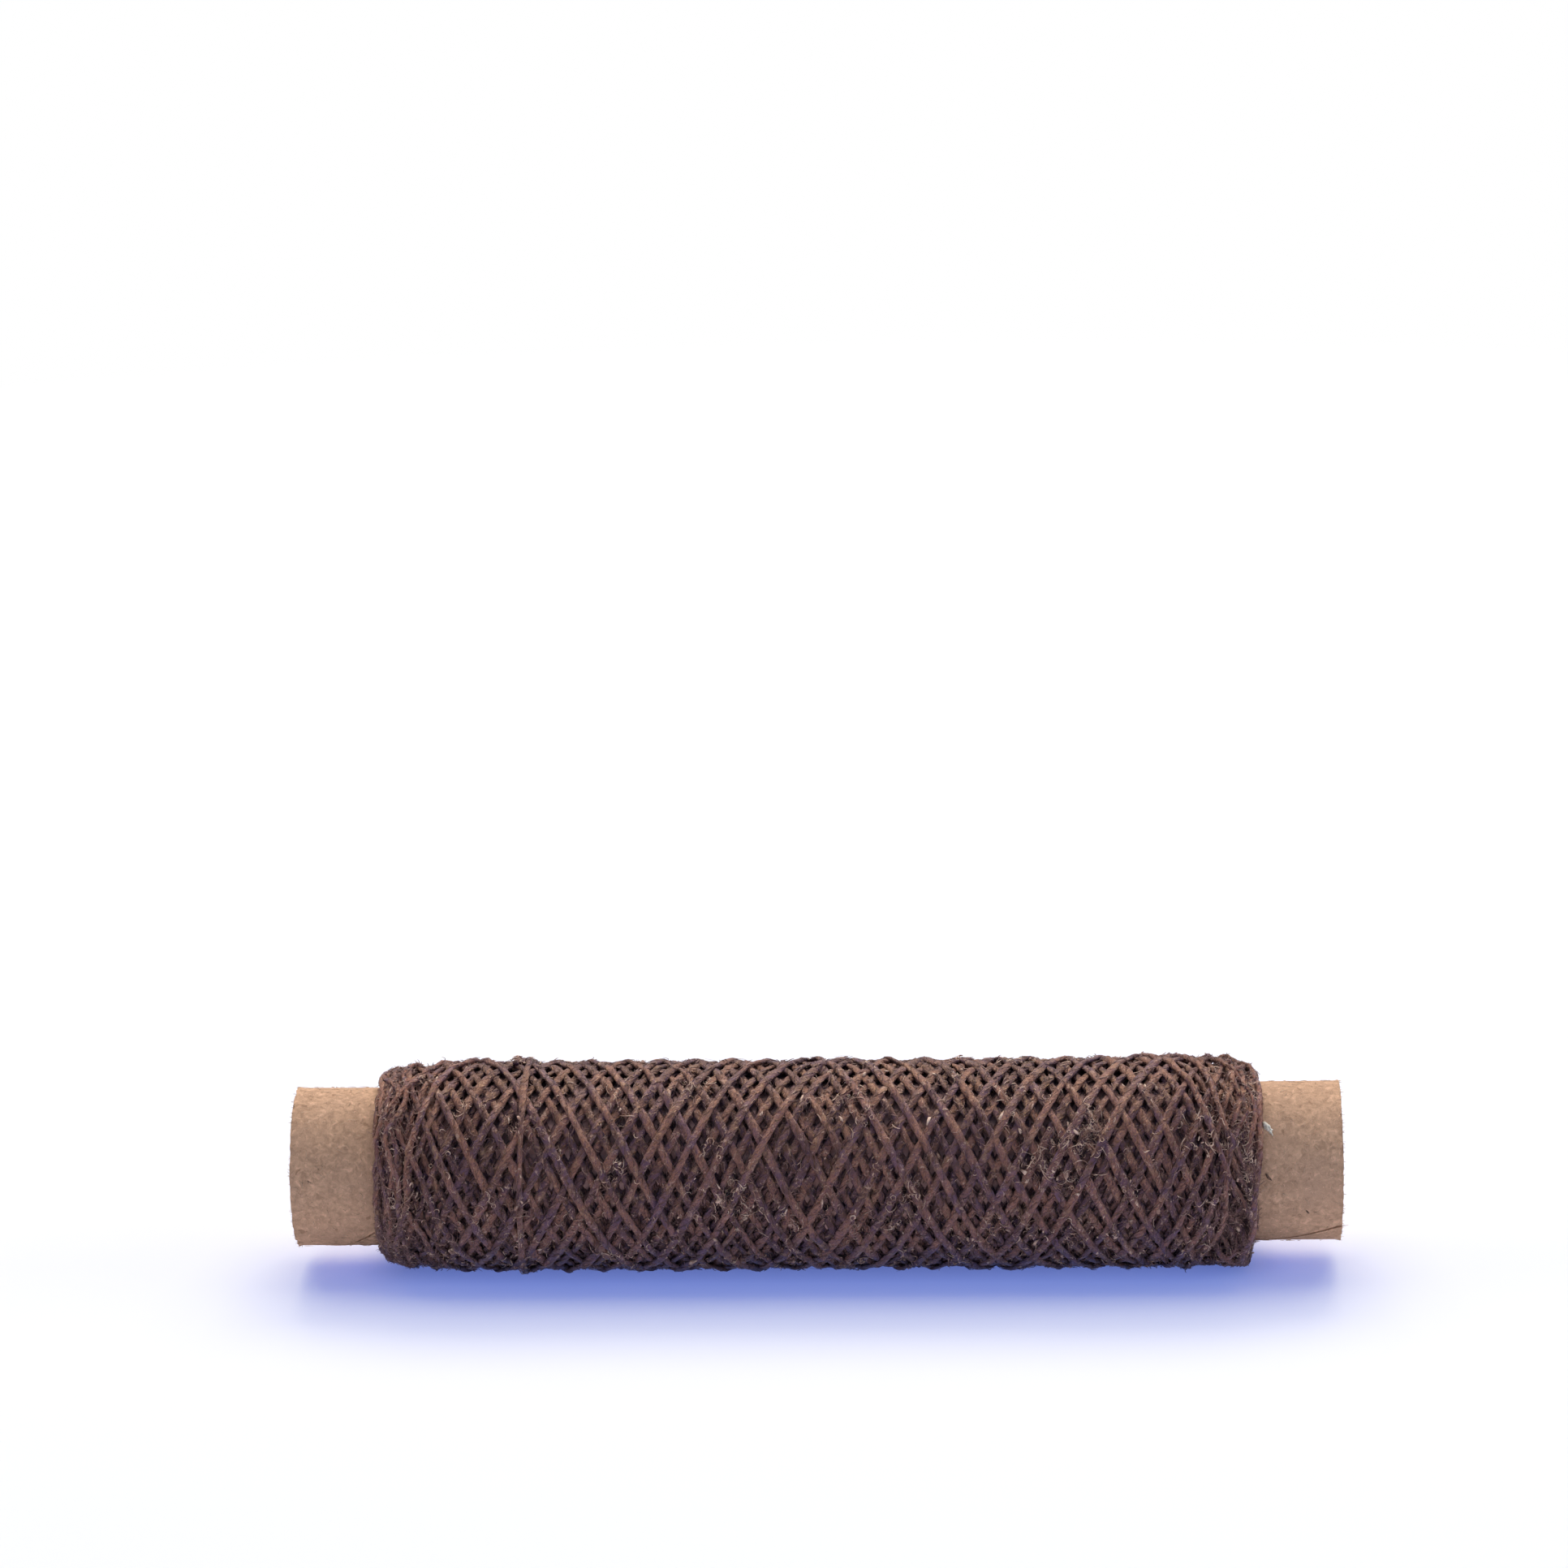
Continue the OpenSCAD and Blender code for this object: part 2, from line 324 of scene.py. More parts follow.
def wind():
    """Lays the whole thread on the tube. Gives its centre line and the surface, also as it was
    just before the last hoop."""
    turns, x, hoop_at = whole_path(np.random.default_rng(SEED))
    start = NEWEST_ANGLE / 360 - NEWEST_X / LEAD - (TRIPS - 0.75) * TRIP_TURNS
    angle = TAU * (turns + start)
    surface = np.repeat(base_radius(COLUMNS)[:, None], AROUND, axis=1)
    sideways = np.linspace(-0.5, 0.5, 15) * THREAD_W
    lens = THREAD_T / 2 * np.sqrt(1 - (2 * sideways / THREAD_W) ** 2)
    radius = np.zeros(len(turns))
    end_r = float(base_radius(REACH)) + THREAD_T / 2
    before = None
    for first, last in stretches(turns):
        part = slice(max(first - 1, 0), last)
        part_turns, part_x, part_angle = turns[part], x[part], angle[part]
        wound = first / len(turns)
        mean_r = MODELLED_R + wound
        dx, da = np.gradient(part_x), np.gradient(part_angle) * mean_r
        ds = np.hypot(dx, da)
        along, across = dx / ds, da / ds

        def under(place):
            return cells(place, part_angle, sideways, along, across, mean_r)

        def height_under(place):
            return (surface[under(place)] + lens).max(1)

        slip = best_slip(part_x, height_under, BASE_SHARE + (1 - BASE_SHARE) * first / len(turns))
        free = np.where(part_turns > hoop_at - 0.3, 0, near_ends(part_x, *SLIP_ZONE))
        part_x = np.clip(part_x + slip * free, -REACH, REACH)
        back = np.interp(np.degrees(part_angle) % 360, EDGE_ANGLES, EDGE_BACK)
        part_x = part_x - smooth(back, 8) * near_ends(np.maximum(part_x, 0), *EDGE_ZONE)
        sink = np.interp(wound, SINK_TIMES, SINKS)
        lowest = height_under(part_x) - sink - HOOP_SINK * (part_turns > hoop_at + 0.05)
        lowest[0] = end_r
        s = np.concatenate([[0], np.cumsum(ds[1:])])
        part_r = laid(s, part_x, lowest, float(np.median(across)) ** 2 / mean_r)
        end_r = part_r[-1]
        x[part], radius[part] = part_x, part_r
        if turns[first] > hoop_at - 1.2 and before is None:
            before = surface.copy()
        np.maximum.at(surface, under(part_x), part_r[:, None] + lens)
    return turns, x, angle, radius, surface, before, hoop_at


def press(x, angle, radius, surface, before):
    """Presses the package to the radius that it has, which is puffed up more at the top."""
    spare = np.maximum(smooth(np.percentile(before, 90, axis=1), 4) - TUBE_R, 0.3)
    share = smooth(np.clip((package_radius(COLUMNS) - TUBE_R) / spare, 0.3, 1.3), 3)
    puff = smooth(np.interp(COLUMNS, PUFF_PLACES, PUFF) / spare, 3)

    def factor(x, angle):
        return np.interp(x, COLUMNS, share) + np.interp(x, COLUMNS, puff) * upward(angle)

    def eased(radius, x, angle):
        limit = package_radius(x) + PILE_LIMIT + np.interp(x, PUFF_PLACES, PUFF) * upward(angle)
        return radius - PILE_EASE * np.maximum(radius - limit, 0)

    rows = TAU * np.arange(AROUND)[None, :] / AROUND
    columns = COLUMNS[:, None]
    pressed = TUBE_R + (surface - TUBE_R) * factor(columns, rows)
    at_thread = factor(x, angle)
    radius = TUBE_R + (radius - TUBE_R) * at_thread
    return eased(radius, x, angle), at_thread, eased(pressed, columns, rows)


# ---- meshes

def new_mesh(name, verts, faces, uvs=None):
    """Object with smooth faces from points in millimetres."""
    mesh = bpy.data.meshes.new(name)
    mesh.from_pydata((np.asarray(verts) * MM).tolist(), [], faces)
    for layer, values in (uvs or {}).items():
        uv = mesh.uv_layers.new(name=layer)
        uv.data.foreach_set("uv", np.asarray(values, np.float32).ravel())
    mesh.polygons.foreach_set("use_smooth", [True] * len(mesh.polygons))
    mesh.update()
    return placed(name, mesh)


def placed(name, data):
    """New object in the scene."""
    made = bpy.data.objects.new(name, data)
    bpy.context.scene.collection.objects.link(made)
    return made


def ring_faces(rings, sides, seam=False):
    """Corners of the quads between rings of points, which may be open at a seam."""
    i, j = np.meshgrid(np.arange(rings - 1), np.arange(sides - seam), indexing="ij")
    k = (j + 1) % sides
    quads = np.stack([i * sides + j, i * sides + k, (i + 1) * sides + k, (i + 1) * sides + j], -1)
    return quads.reshape(-1, 4)


def thread_uvs(rings, sides, length_from, step):
    """Place of each corner along and round the thread, and in rows for a baked picture."""
    i, j = np.meshgrid(np.arange(rings - 1), np.arange(sides), indexing="ij")
    i, j = i.ravel(), j.ravel()
    corner_i = np.stack([i, i, i + 1, i + 1], -1)
    corner_j = np.stack([j, j + 1, j + 1, j], -1)
    along = np.stack([length_from + corner_i * step, corner_j / sides], -1)
    rows = max(1, round(math.sqrt((rings - 1) * step / 2.4)))
    per_row = math.ceil((rings - 1) / rows)
    row = (i // per_row)[:, None]
    u = (corner_i - row * per_row) / per_row * 0.996 + 0.002
    v = (row + 0.06 + 0.88 * corner_j / sides) / rows
    return along.reshape(-1, 2), np.stack([u, v], -1).reshape(-1, 2)


def thread_frames(x, angle, radius):
    """Centre line in space, with the directions across the thread and out of the package."""
    centre = round_tube(x, radius, angle)
    ahead = np.gradient(centre, axis=0)
    ahead /= np.linalg.norm(ahead, axis=1)[:, None]
    slope = (package_radius(x + 0.25) - package_radius(x - 0.25)) / 0.5
    tilt = np.arctan(np.clip(slope, -1.6, 1.6)) * 0.8
    out = round_tube(-np.sin(tilt), np.cos(tilt), angle)
    across = np.cross(ahead, out)
    across /= np.linalg.norm(across, axis=1)[:, None]
    return centre, across, np.cross(across, ahead)


def thread_piece(name, line, first, last, step, sides):
    """One stretch of the thread as a closed tube."""
    s = line["s"]
    rings = max(3, int(round((s[last] - s[first]) / step)))
    at = np.linspace(s[first], s[last], rings)
    pick = {key: np.interp(at, s, values) for key, values in line.items()}
    centre, across, out = thread_frames(pick["x"], pick["angle"], pick["radius"])
    roll = np.radians(pick["roll"])[:, None]
    side_way = across * np.cos(roll) + out * np.sin(roll)
    up_way = out * np.cos(roll) - across * np.sin(roll)
    a = TAU * np.arange(sides) / sides - math.pi / 2
    rng = np.random.default_rng(SEED + 2 + first)
    ragged = 1 + pick["lumps"][:, None] * rng.normal(size=(rings, sides))
    twist = PLIES * (a[None, :] + TAU * at[:, None] / TWIST_PITCH)
    ragged = ragged * (1 + PLY_DEPTH * (np.abs(np.cos(twist / 2)) - 0.64))
    flat = ragged * (np.sign(np.cos(a)) * np.abs(np.cos(a)) ** 0.85)
    bulge = ragged * np.sin(a)
    verts = (centre[:, None, :]
             + side_way[:, None, :] * (pick["wide"][:, None] / 2 * flat)[:, :, None]
             + up_way[:, None, :] * (pick["thick"][:, None] / 2 * bulge)[:, :, None])
    verts = verts.reshape(-1, 3)
    verts[:, 2] = np.maximum(verts[:, 2], REST_Z)
    quads = ring_faces(rings, sides)
    along, baked = thread_uvs(rings, sides, s[first], (s[last] - s[first]) / (rings - 1))
    caps = [list(range(sides))[::-1], list(range((rings - 1) * sides, rings * sides))]
    cap_uv = np.zeros((2 * sides, 2))
    return new_mesh(name, verts, quads.tolist() + caps,
                    {"Thread": np.concatenate([along, cap_uv]),
                     "OFBake": np.concatenate([baked, cap_uv])})


def shell(name, x, outer, inner, angle, seam=False):
    """Sleeve between an outer and an inner radius, which may be open along a seam."""
    rings, sides = outer.shape
    x = np.broadcast_to(x, outer.shape)
    verts = np.stack([round_tube(x, outer, angle), round_tube(x, inner, angle)])
    base = rings * sides
    skin = ring_faces(rings, sides, seam)
    j = np.arange(sides - seam)
    k = (j + 1) % sides
    end = (rings - 1) * sides
    faces = [skin[:, ::-1], skin + base, np.stack([k + base, j + base, j, k], -1),
             np.stack([end + j + base, end + k + base, end + k, end + j], -1)]
    if seam:
        near = np.arange(rings - 1) * sides
        far = near + sides - 1
        faces.append(np.stack([near + base, near + sides + base, near + sides, near], -1))
        faces.append(np.stack([far + sides + base, far + base, far, far + sides], -1))
    return new_mesh(name, verts.reshape(-1, 3), np.concatenate(faces).tolist())


def deep_sleeve():
    """Deep layers of the thread, which the modelled layers cover. It sinks under their ends."""
    half = PACKAGE_HALF - 1.8
    x = np.linspace(-half, half, 160)[:, None]
    angle = TAU * np.arange(120) / 120
    along = TAU * x / 1.5
    ridge = 0.04 * (np.sin(angle * STRANDS + along) + np.sin(angle * STRANDS - along))
    sunk = np.interp(np.abs(x), [32.5, 34.5], [-0.02, 0.35])
    outer = np.maximum(base_radius(x) - sunk + ridge, TUBE_R + 0.05)
    inner = np.full_like(outer, TUBE_R + 0.01)
    return shell("deep_windings", x + PACKAGE_SHIFT, outer, inner, angle)


def thread_line(turns, x, angle, radius, factor, hoop_at):
    """Centre line of the thread by its length, with its width, thickness, roll and lumps."""
    steps = np.diff(round_tube(x, radius, angle), axis=0)
    rng = np.random.default_rng(SEED + 1)
    n = len(x)
    at_end = near_ends(x, *SHAPE_ZONE)
    wide = THREAD_W * (1 + 0.07 * drift(rng, n, 1.2 / STEP) + 0.06 * drift(rng, n, 0.4 / STEP))
    thick = THREAD_T * np.clip(factor, 0.7, 1.1) * (1 + 0.1 * drift(rng, n, 0.7 / STEP))
    roll = THREAD_ROLL * drift(rng, n, 1.5 / STEP)
    wide *= 1 + (END_WIDE - 1) * at_end
    wide[turns > hoop_at] *= HOOP_WIDE
    return {
        "s": np.concatenate([[0], np.cumsum(np.sqrt((steps ** 2).sum(1)))]),
        "x": x, "angle": angle, "radius": radius, "wide": wide,
        "thick": thick * (1 + (END_THICK - 1) * at_end),
        "roll": roll + END_ROLL * at_end * drift(rng, n, 0.8 / STEP),
        "lumps": THREAD_LUMPS * (1 + (END_LUMPS - 1) * at_end),
    }


def package():
    """All pieces of the wound thread, its finished surface, and its length."""
    turns, x, angle, radius, surface, before, hoop_at = wind()
    radius, factor, surface = press(x, angle, radius, surface, before)
    line = thread_line(turns, x + PACKAGE_SHIFT, angle, smooth(radius, 2), factor, hoop_at)
    lattice = STRANDS * TRIP_TURNS
    top_from = turns[-1] - HOOP_TURNS - lattice
    spans = [
        ("first_layers", 0, top_from - lattice, 0.7, 6, [""]),
        ("middle_layers", top_from - lattice, top_from, 0.5, 8, ["_a", "_b"]),
        ("top_layers", top_from, turns[-1], 0.26, 10, ["_a", "_b", "_c", "_d", "_e"]),
    ]
    pieces = []
    for name, begin, end, step, sides, parts in spans:
        marks = np.linspace(begin, end, len(parts) + 1)
        at = np.searchsorted(turns, marks).clip(0, len(turns) - 1)
        for part, first, last in zip(parts, at[:-1], at[1:]):
            pieces.append((name, thread_piece(name + part, line, first, last, step, sides)))
    return pieces, surface, line["s"][-1]


# ---- loose bits

def on_package(surface):
    """Gives the function that tells the radius of the finished winding at a place."""
    def radius(x, angle):
        column = np.rint((x - PACKAGE_SHIFT + PACKAGE_HALF) / CELL).astype(int)
        row = np.rint(angle / TAU * AROUND).astype(int) % AROUND
        return surface[column.clip(0, surface.shape[0] - 1), row]
    return radius


def on_tube(x, angle):
    """Radius of the bare tube, which is the same all round."""
    return np.full(len(x), TUBE_R + 0.035)


def strewn(rng, count, share_at_spots, share_in_clusters):
    """Places on the package, some in small clusters and some gathered round a few spots."""
    reach = PACKAGE_HALF - STREWN_MARGIN
    x = rng.uniform(-reach, reach, count)
    angle = rng.uniform(0, TAU, count)
    cluster_rng = np.random.default_rng(SEED + 50)
    cluster_x = cluster_rng.uniform(-reach, reach, CLUSTERS)
    cluster_angle = cluster_rng.uniform(0, TAU, CLUSTERS)
    cluster_angle[::4] = np.radians(cluster_rng.uniform(*LOW_CLUSTERS, len(cluster_angle[::4])))
    in_clusters = int(count * share_in_clusters)
    clustered = slice(count - in_clusters, count)
    which = rng.integers(0, CLUSTERS, in_clusters)
    spread = CLUSTER_SPREAD * rng.normal(size=(2, len(which)))
    x[clustered] = cluster_x[which] + spread[0]
    angle[clustered] = cluster_angle[which] + spread[1] / 9
    gathered = int(count * share_at_spots)
    centre = np.array(SPOTS)[rng.integers(0, len(SPOTS), gathered)]
    x[:gathered] = centre[:, 0] + rng.normal(size=gathered) * centre[:, 2]
    angle[:gathered] = np.radians(centre[:, 1]) + rng.normal(size=gathered) * centre[:, 2] / 9
    return x.clip(-reach, reach), angle


def strewn_on_tube(rng, count):
    """Places on the bare ends of the tube."""
    x = rng.uniform(PACKAGE_HALF + 0.2, TUBE_HALF - 0.3, count) * rng.choice([-1, 1], count)
    return x, rng.uniform(0, TAU, count)


def with_strands(rng, count, scatter):
    """Directions that run with the strands of the thread, within a scatter."""
    return rng.choice([-1, 1], count) * STRAND_WAY + rng.normal(size=count) * scatter


def fibres(name, ground, places, ways, rng, length, thick, lift, curl):
    """Loose fibres, as thin bent tubes that rise from the ground to a lift."""
    x, angle = places
    way = ways.copy()
    count = len(x)
    long = length * rng.uniform(0.5, 1.5, count)
    bend = curl * rng.normal(size=count)
    rise = lift * rng.uniform(0.2, 1.4, count)
    size = thick * rng.uniform(0.7, 1.4, count)
    line = np.zeros((count, FIBRE_RINGS, 3))
    for k in range(FIBRE_RINGS):
        share = k / (FIBRE_RINGS - 1)
        radius = ground(x, angle) + size + rise * share ** 2
        line[:, k] = np.stack([x, angle, radius], -1)
        x = x + np.cos(way) * long / FIBRE_RINGS
        angle = angle + np.sin(way) * long / FIBRE_RINGS / radius
        way = way + bend / FIBRE_RINGS
    height = line[:, :, 2]
    height = (height + np.roll(height, 1, axis=1) + np.roll(height, -1, axis=1)) / 3
    height[:, 0] = height[:, 1] - 0.03
    height[:, -1] = height[:, -2] + 0.2 * rise
    around = line[:, :, 1]
    centre = round_tube(line[:, :, 0], height, around)
    centre[..., 2] = np.maximum(centre[..., 2], REST_Z + 0.05)
    out = round_tube(np.zeros_like(around), 1, around)
    taper = np.interp(np.linspace(0, 1, FIBRE_RINGS), [0, 0.3, 1], [0.6, 1, 0.35])
    return fibre_mesh(name, centre, out, size[:, None] * taper)


def unit(vectors):
    """Vectors made one long."""
    return vectors / (np.linalg.norm(vectors, axis=-1)[..., None] + 1e-9)


def fibre_mesh(name, centre, out, size):
    """Closed thin tubes round many short centre lines."""
    count = len(centre)
    ahead = unit(np.gradient(centre, axis=1))
    across = unit(np.cross(ahead, out))
    up = np.cross(across, ahead)
    a = TAU * np.arange(FIBRE_SIDES) / FIBRE_SIDES
    ring = across[:, :, None] * np.cos(a)[:, None] + up[:, :, None] * np.sin(a)[:, None]
    verts = centre[:, :, None] + size[:, :, None, None] * ring
    base = (np.arange(count) * FIBRE_RINGS * FIBRE_SIDES)[:, None, None]
    quads = (ring_faces(FIBRE_RINGS, FIBRE_SIDES)[None] + base).reshape(-1, 4)
    first = np.arange(FIBRE_SIDES)[::-1]
    last = np.arange(FIBRE_SIDES) + (FIBRE_RINGS - 1) * FIBRE_SIDES
    caps = (np.stack([first, last])[None] + base).reshape(-1, FIBRE_SIDES)
    return new_mesh(name, verts.reshape(-1, 3), quads.tolist() + caps.tolist())


def ball():
    """Corner points and faces of a small round lump."""
    lump = bmesh.new()
    bmesh.ops.create_icosphere(lump, subdivisions=1, radius=1)
    points = np.array([v.co for v in lump.verts])
    faces = np.array([[v.index for v in f.verts] for f in lump.faces])
    lump.free()
    return points, faces


def crumbs(name, ground, places, ways, rng, size, shape):
    """Crumbs, as small uneven lumps pressed on the ground, drawn out along their ways."""
    points, corners = ball()
    x, angle = places
    count = len(x)
    scale = size * np.exp(rng.normal(size=count) * 0.45).clip(0.4, 2.2)
    lumps = points[None] * (1 + 0.28 * rng.normal(size=(count, len(points), 1)))
    lumps = lumps * scale[:, None, None] * np.array(shape)
    c, s = np.cos(ways)[:, None], np.sin(ways)[:, None]
    radius = ground(x, angle)[:, None] + lumps[..., 2] - 0.02
    around = angle[:, None] + (lumps[..., 0] * s + lumps[..., 1] * c) / radius
    along = x[:, None] + lumps[..., 0] * c - lumps[..., 1] * s
    verts = round_tube(along, radius, around)
    verts[..., 2] = np.maximum(verts[..., 2], REST_Z + 0.02)
    faces = corners[None] + (np.arange(count) * len(points))[:, None, None]
    return new_mesh(name, verts.reshape(-1, 3), faces.reshape(-1, 3).tolist())


def package_bits(ground):
    """Fibres and crumbs that lie on the thread, with the material of each."""
    reach = PACKAGE_HALF - STREWN_MARGIN
    made = []
    for name, count, spots, clusters, scatter, length, thick, lift, curl, material in [
            ("loose_fibres", 5600, 0.06, 0.20, 0.40, 0.9, 0.040, 0.11, 1.6, "fibre"),
            ("long_fibres", 240, 0.20, 0.20, 0.60, 2.4, 0.017, 0.40, 3.5, "fibre"),
            ("pale_fibres", 1300, 0.12, 0.75, 0.55, 0.75, 0.046, 0.08, 2.8, "wax"),
            ("curled_fibres", 700, 0.36, 0.60, 0.90, 1.25, 0.050, 0.16, 5.0, "wax")]:
        rng = np.random.default_rng(SEED + len(name) + count)
        x, angle = strewn(rng, count, spots, clusters)
        places = x.clip(length / 2 - reach, reach - length / 2), angle
        ways = with_strands(rng, count, scatter)
        made.append((fibres(name, ground, places, ways, rng, length, thick, lift, curl), material))
    for name, count, spots, clusters, size, shape in [
            ("wax_crumbs", 900, 0.08, 0.72, 0.06, (2.4, 0.8, 0.6)),
            ("wax_flakes", 520, 0.10, 0.60, 0.105, (1.8, 0.8, 0.6))]:
        rng = np.random.default_rng(SEED + len(name) + count)
        places = strewn(rng, count, spots, clusters)
        ways = with_strands(rng, count, 0.5)
        made.append((crumbs(name, ground, places, ways, rng, size, shape), "wax"))
    made.append((end_fuzz("end_fibres", ground, 3000, 0.8, 0.040, 0.24, 2.5), "fibre"))
    made.append((end_fuzz("end_flecks", ground, 420, 0.6, 0.048, 0.10, 4.0), "wax"))
    return made


def end_fuzz(name, ground, count, length, thick, lift, curl):
    """Short fibres that stand out of the rounded ends of the package."""
    rng = np.random.default_rng(SEED + count)
    depth = np.minimum(rng.gamma(1.6, 1.1, count), 6)
    side = rng.choice([-1, 1], count)
    angle = rng.uniform(0, TAU, count)
    low = rng.uniform(size=count) < LOW_FUZZ_SHARE
    angle[low] = np.radians(rng.uniform(*LOW_FUZZ, low.sum()))
    x = side * (PACKAGE_HALF - 0.55 - depth)
    ways = rng.choice([-1, 1], count) * math.pi / 2 + rng.normal(size=count) * 0.7
    return fibres(name, ground, (x, angle), ways, rng, length, thick, lift, curl)


def tube_bits():
    """Pulp fibres, a blob of wax and dark chips on the bare ends of the tube."""
    rng = np.random.default_rng(SEED + 60)
    count = 420
    flat = fibres("paper_fibres", on_tube, strewn_on_tube(rng, count),
                  rng.uniform(0, TAU, count), rng, 0.75, 0.022, 0.02, 2.0)
    count = 260
    side = rng.choice([-1, 1], count)
    rim = fibres("rim_fibres", on_tube,
                 (side * (TUBE_HALF - 0.12), rng.uniform(0, TAU, count)),
                 np.where(side > 0, 0, math.pi) + rng.normal(size=count) * 0.6, rng,
                 0.32, 0.024, 0.05, 1.5)
    x, angle, way, length, lift = np.array(STRAYS).T
    stray = fibres("stray_fibres", on_tube, (x, np.radians(angle)), np.radians(way), rng,
                   length, 0.03, lift, 1.0)
    made = [(flat, "pulp"), (rim, "pulp"), (stray, "pulp")]
    for name, places, way, size, shape, material in [
            ("tube_wax", TUBE_WAX, 1.1, 0.18, (1.4, 1.0, 0.4), "white_wax"),
            ("tube_chips", TUBE_CHIPS, 0.9, 0.10, (1.6, 0.6, 0.3), "chip")]:
        x, angle = np.array(places).T
        ways = np.full(len(places), way)
        piece = crumbs(name, on_tube, (x, np.radians(angle)), ways, rng, size, shape)
        made.append((piece, material))
    return made


# ---- paper tube

def cut_ends(rng, angle, outer_r, rough):
    """How far the left and the right end of a ply stand back, round the tube."""
    sides = angle.shape[1]
    ragged = rough * 0.05 * smooth(rng.normal(size=sides * 2), 1.2)
    for side, place, width, depth in RIM_NICKS:
        rim = angle[0 if side < 0 else -1]
        off = np.abs((rim - math.radians(place) + math.pi) % TAU - math.pi) * outer_r
        first = 0 if side < 0 else sides
        nick = rough * depth * np.exp(-(off / width) ** 2)
        ragged[first:first + sides] = np.abs(ragged[first:first + sides]) + nick
    return np.abs(ragged[:sides]), np.abs(ragged[sides:])


def ply(name, inner_r, seam_angle, seed, rings, sides, rough):
    """One strip of paper wound in a spiral, with an open seam. Where it is rough, its surface
    waves, its edges stand up, and its ends are ragged."""
    rng = np.random.default_rng(seed)
    outer_r = inner_r + PLY_T
    gap = SEAM_GAP / math.sin(math.atan2(SEAM_LEAD, TAU * outer_r)) / outer_r
    share = np.linspace(-1, 1, rings)
    xs = TUBE_HALF * (0.35 * share + 0.65 * np.sin(share * math.pi / 2))
    seam = np.radians(seam_angle + np.interp(xs, SEAM_BEND_X, SEAM_BEND)) - TAU * xs / SEAM_LEAD
    turn = gap / 2 + np.linspace(0, 1, sides) * (TAU - gap)
    angle = seam[:, None] + turn
    to_seam = np.minimum(turn, TAU - turn) * outer_r
    x = np.repeat(xs[:, None], sides, 1)
    lift = rough * 0.05 * np.exp(-(to_seam / 0.7) ** 2)
    wave = rough * 0.02 * (np.sin(angle * 3 + x * 0.21 + seed) + np.sin(angle * 5 - x * 0.13))
    burr = rough * 0.05 * np.exp(-((TUBE_HALF - np.abs(x)) / 0.25) ** 2)
    burr = burr * (1 + np.sin(angle * 37 + seed))
    grain = rough * 0.006 * rng.normal(size=angle.shape)
    left, right = cut_ends(rng, angle, outer_r, rough)
    x[0] += left
    x[-1] -= right
    made = shell(name, x, outer_r + wave + lift + burr + grain, inner_r + wave + lift * 0.6,
                 angle, seam=True)
    made.data.set_sharp_from_angle(angle=math.radians(50))
    return made


# ---- materials

def feed(tree, node, inputs):
    """Gives a node its inputs, as numbers, colours or other nodes' sockets."""
    for name, value in inputs.items():
        if isinstance(value, bpy.types.NodeSocket):
            tree.links.new(value, node.inputs[name])
        else:
            node.inputs[name].default_value = value


def add(tree, kind, inputs=None, **settings):
    """Adds a shader node with its settings and inputs."""
    made = tree.nodes.new("ShaderNode" + kind)
    for name, value in settings.items():
        setattr(made, name, value)
    feed(tree, made, inputs or {})
    return made


def empty_tree(owner):
    """Node tree of a material or a world, without its first nodes."""
    owner.use_nodes = True
    owner.node_tree.nodes.clear()
    return owner.node_tree


def new_material(name):
    """Material with one Principled shader."""
    made = bpy.data.materials.new(name)
    tree = empty_tree(made)
    shader = add(tree, "BsdfPrincipled")
    add(tree, "OutputMaterial", {"Surface": shader.outputs[0]})
    return made, tree, shader


def place_mm(tree):
    """Place in millimetres."""
    where = add(tree, "TexCoord").outputs["Object"]
    return add(tree, "VectorMath", {0: where, 1: (1000, 1000, 1000)},
               operation="MULTIPLY").outputs[0]


def noise(tree, where, scale, detail=3.0, rough=0.55, distortion=0.0):
    """Cloud noise from 0 to 1."""
    return add(tree, "TexNoise",
               {"Vector": where, "Scale": scale, "Detail": detail, "Roughness": rough,
                "Distortion": distortion}).outputs["Fac"]


def ranged(tree, value, low, high, to_low=0.0, to_high=1.0):
    """Maps a range of values to another, and holds it there."""
    return add(tree, "MapRange",
               {"Value": value, "From Min": low, "From Max": high, "To Min": to_low,
                "To Max": to_high}).outputs["Result"]


def maths(tree, operation, first, second):
    """Result of one operation on two values."""
    return add(tree, "Math", {0: first, 1: second}, operation=operation).outputs[0]


def times(tree, first, second):
    """Product of two values."""
    return maths(tree, "MULTIPLY", first, second)


def plus(tree, first, second):
    """Sum of two values."""
    return maths(tree, "ADD", first, second)


def distance(tree, value, middle=0.5):
    """How far a value is from a middle."""
    return maths(tree, "ABSOLUTE", maths(tree, "SUBTRACT", value, middle), 0)


def bump(tree, height, strength, reach):
    """Normal of a surface with a relief of that height."""
    return add(tree, "Bump",
               {"Height": height, "Strength": strength, "Distance": reach}).outputs[0]


def mixed(tree, share, first, second, blend="MIX"):
    """Mixes two colours."""
    made = add(tree, "Mix", {0: share, 6: first, 7: second}, data_type="RGBA",
               blend_type=blend)
    return made.outputs[2]


def colour(red, green, blue):
    """Colour as a shader's input takes it."""
    return (red, green, blue, 1.0)


def tinted(base, share):
    """Colour made of a base with a share of each channel."""
    return colour(*(b * s for b, s in zip(base, share)))


def stretched(tree, u, u_share, turn, turn_share):
    """Place on the thread, stretched along it."""
    return add(tree, "CombineXYZ",
               {0: times(tree, u, u_share), 1: times(tree, turn, turn_share)}).outputs[0]


